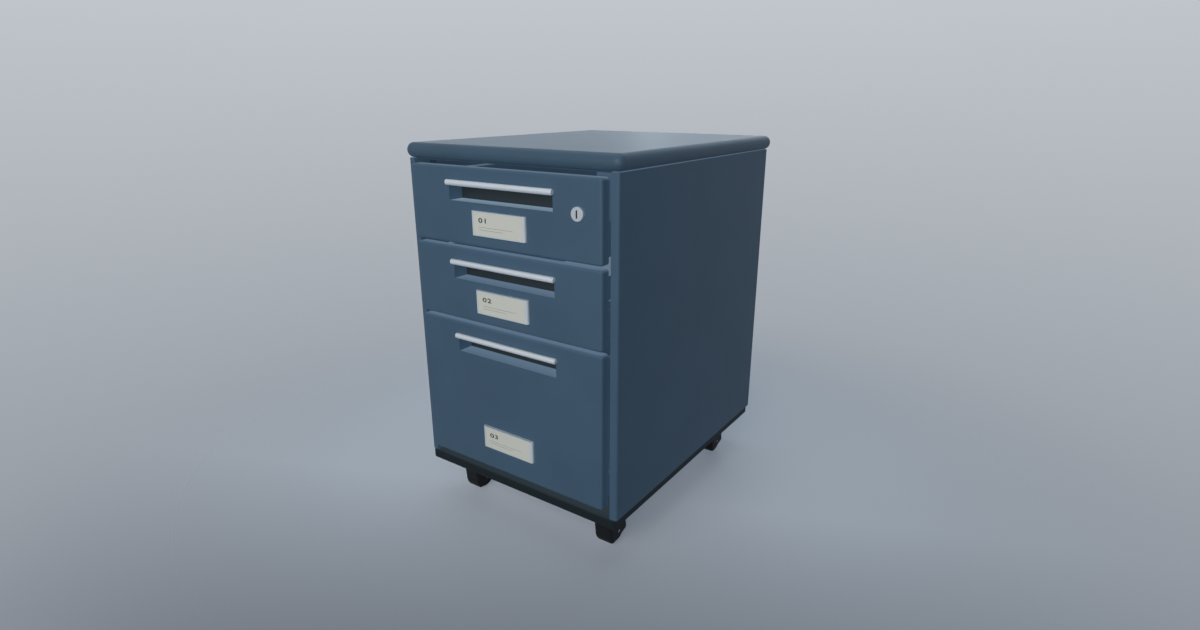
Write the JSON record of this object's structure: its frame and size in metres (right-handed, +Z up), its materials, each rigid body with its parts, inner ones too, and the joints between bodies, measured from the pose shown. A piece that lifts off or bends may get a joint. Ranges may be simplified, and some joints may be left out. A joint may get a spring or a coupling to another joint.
{
  "type": "mobile filing cabinet",
  "caption": "Mobile under-desk filing cabinet with two box drawers over a file drawer, pull bars over finger recesses, label holders, a cam lock and swivel castors.",
  "frame": {"origin": "centre of the whole outline on the floor, under the castors' wheels", "axes": "+X to the right side seen from the front, +Y to the back, +Z up"},
  "size_m": [0.4118, 0.5236, 0.6295],
  "materials": {
    "body_paint": "fine textured powder coat, satin",
    "top_board": "fine textured, satin",
    "base_black": "matt",
    "cup_black": "matt",
    "pull_bar": "satin anodised",
    "label_plastic": "satin",
    "card": "matt",
    "lock_nickel": "satin nickel",
    "zinc_steel": "zinc plated",
    "castor_plastic": "matt",
    "castor_tyre": "matt"
  },
  "bodies": {
    "cabinet": {"top_cap": "top_board", "top_stretchers": "body_paint", "side_panel_left": "body_paint", "side_panel_right": "body_paint", "back_panel": "body_paint", "base_board": "base_black", "corner_brackets": "zinc_steel", "slide_outer_1": "zinc_steel", "slide_outer_2": "zinc_steel", "slide_outer_3": "zinc_steel", "lock_keeper": "body_paint", "castor_plates": "zinc_steel"},
    "slide_1": {"slide_middle_1": "zinc_steel"},
    "drawer_1": {"drawer_front_1": "body_paint", "drawer_box_1": "body_paint", "finger_cup_1": "cup_black", "pull_bar_1": "pull_bar", "label_holder_1": "label_plastic", "label_card_1": "card", "slide_inner_1": "zinc_steel", "lock_housing": "lock_nickel", "lock_nut": "lock_nickel"},
    "slide_2": {"slide_middle_2": "zinc_steel"},
    "drawer_2": {"drawer_front_2": "body_paint", "drawer_box_2": "body_paint", "finger_cup_2": "cup_black", "pull_bar_2": "pull_bar", "label_holder_2": "label_plastic", "label_card_2": "card", "slide_inner_2": "zinc_steel"},
    "slide_3": {"slide_middle_3": "zinc_steel"},
    "drawer_3": {"drawer_front_3": "body_paint", "drawer_box_3": "body_paint", "finger_cup_3": "cup_black", "pull_bar_3": "pull_bar", "label_holder_3": "label_plastic", "label_card_3": "card", "slide_inner_3": "zinc_steel", "file_rails": "zinc_steel"},
    "lock_turn": {"lock_plug": "lock_nickel", "lock_cam": "zinc_steel"},
    "gang_lift": {"gang_bar": "zinc_steel"},
    "castor_front_left": {"castor_fork_front_left": "castor_plastic", "castor_axle_front_left": "zinc_steel"},
    "wheel_front_left": {"castor_wheel_front_left": "castor_tyre"},
    "castor_front_right": {"castor_fork_front_right": "castor_plastic", "castor_axle_front_right": "zinc_steel"},
    "wheel_front_right": {"castor_wheel_front_right": "castor_tyre"},
    "castor_back_left": {"castor_fork_back_left": "castor_plastic", "castor_axle_back_left": "zinc_steel"},
    "wheel_back_left": {"castor_wheel_back_left": "castor_tyre"},
    "castor_back_right": {"castor_fork_back_right": "castor_plastic", "castor_axle_back_right": "zinc_steel"},
    "wheel_back_right": {"castor_wheel_back_right": "castor_tyre"}
  },
  "joints": [
    {"name": "drawer_1_pull", "type": "slide", "parent": "cabinet", "child": "drawer_1", "axis": [0, -1, 0], "range_m": [0, 0.4]},
    {"name": "slide_1_run", "type": "slide", "parent": "cabinet", "child": "slide_1", "axis": [0, -1, 0], "range_m": [0, 0.2]},
    {"name": "drawer_2_pull", "type": "slide", "parent": "cabinet", "child": "drawer_2", "axis": [0, -1, 0], "range_m": [0, 0.4]},
    {"name": "slide_2_run", "type": "slide", "parent": "cabinet", "child": "slide_2", "axis": [0, -1, 0], "range_m": [0, 0.2]},
    {"name": "drawer_3_pull", "type": "slide", "parent": "cabinet", "child": "drawer_3", "axis": [0, -1, 0], "range_m": [0, 0.4]},
    {"name": "slide_3_run", "type": "slide", "parent": "cabinet", "child": "slide_3", "axis": [0, -1, 0], "range_m": [0, 0.2]},
    {"name": "lock_turn", "type": "hinge", "parent": "drawer_1", "child": "lock_turn", "pos_m": [0.1434, -0.2543, 0.5494], "axis": [0, -1, 0], "range_deg": [0, 90]},
    {"name": "gang_bar_lift", "type": "slide", "parent": "cabinet", "child": "gang_lift", "axis": [0, 0, 1], "range_m": [0, 0.008]},
    {"name": "castor_front_left_swivel", "type": "hinge", "parent": "cabinet", "child": "castor_front_left", "pos_m": [-0.147, -0.1926, 0.06], "axis": [0, 0, 1], "continuous": true},
    {"name": "castor_front_left_roll", "type": "hinge", "parent": "castor_front_left", "child": "wheel_front_left", "pos_m": [-0.147, -0.1776, 0.0205], "axis": [1, 0, 0], "continuous": true},
    {"name": "castor_front_right_swivel", "type": "hinge", "parent": "cabinet", "child": "castor_front_right", "pos_m": [0.147, -0.1926, 0.06], "axis": [0, 0, 1], "continuous": true},
    {"name": "castor_front_right_roll", "type": "hinge", "parent": "castor_front_right", "child": "wheel_front_right", "pos_m": [0.147, -0.1776, 0.0205], "axis": [1, 0, 0], "continuous": true},
    {"name": "castor_back_left_swivel", "type": "hinge", "parent": "cabinet", "child": "castor_back_left", "pos_m": [-0.147, 0.1764, 0.06], "axis": [0, 0, 1], "continuous": true},
    {"name": "castor_back_left_roll", "type": "hinge", "parent": "castor_back_left", "child": "wheel_back_left", "pos_m": [-0.147, 0.1914, 0.0205], "axis": [1, 0, 0], "continuous": true},
    {"name": "castor_back_right_swivel", "type": "hinge", "parent": "cabinet", "child": "castor_back_right", "pos_m": [0.147, 0.1764, 0.06], "axis": [0, 0, 1], "continuous": true},
    {"name": "castor_back_right_roll", "type": "hinge", "parent": "castor_back_right", "child": "wheel_back_right", "pos_m": [0.147, 0.1914, 0.0205], "axis": [1, 0, 0], "continuous": true}
  ],
  "couplings": [
    {"joint": "slide_1_run", "follows": "drawer_1_pull", "ratio": 0.5},
    {"joint": "slide_2_run", "follows": "drawer_2_pull", "ratio": 0.5},
    {"joint": "slide_3_run", "follows": "drawer_3_pull", "ratio": 0.5},
    {"joint": "lock_turn", "follows": "gang_bar_lift", "rad_per_m": 196.34}
  ]
}
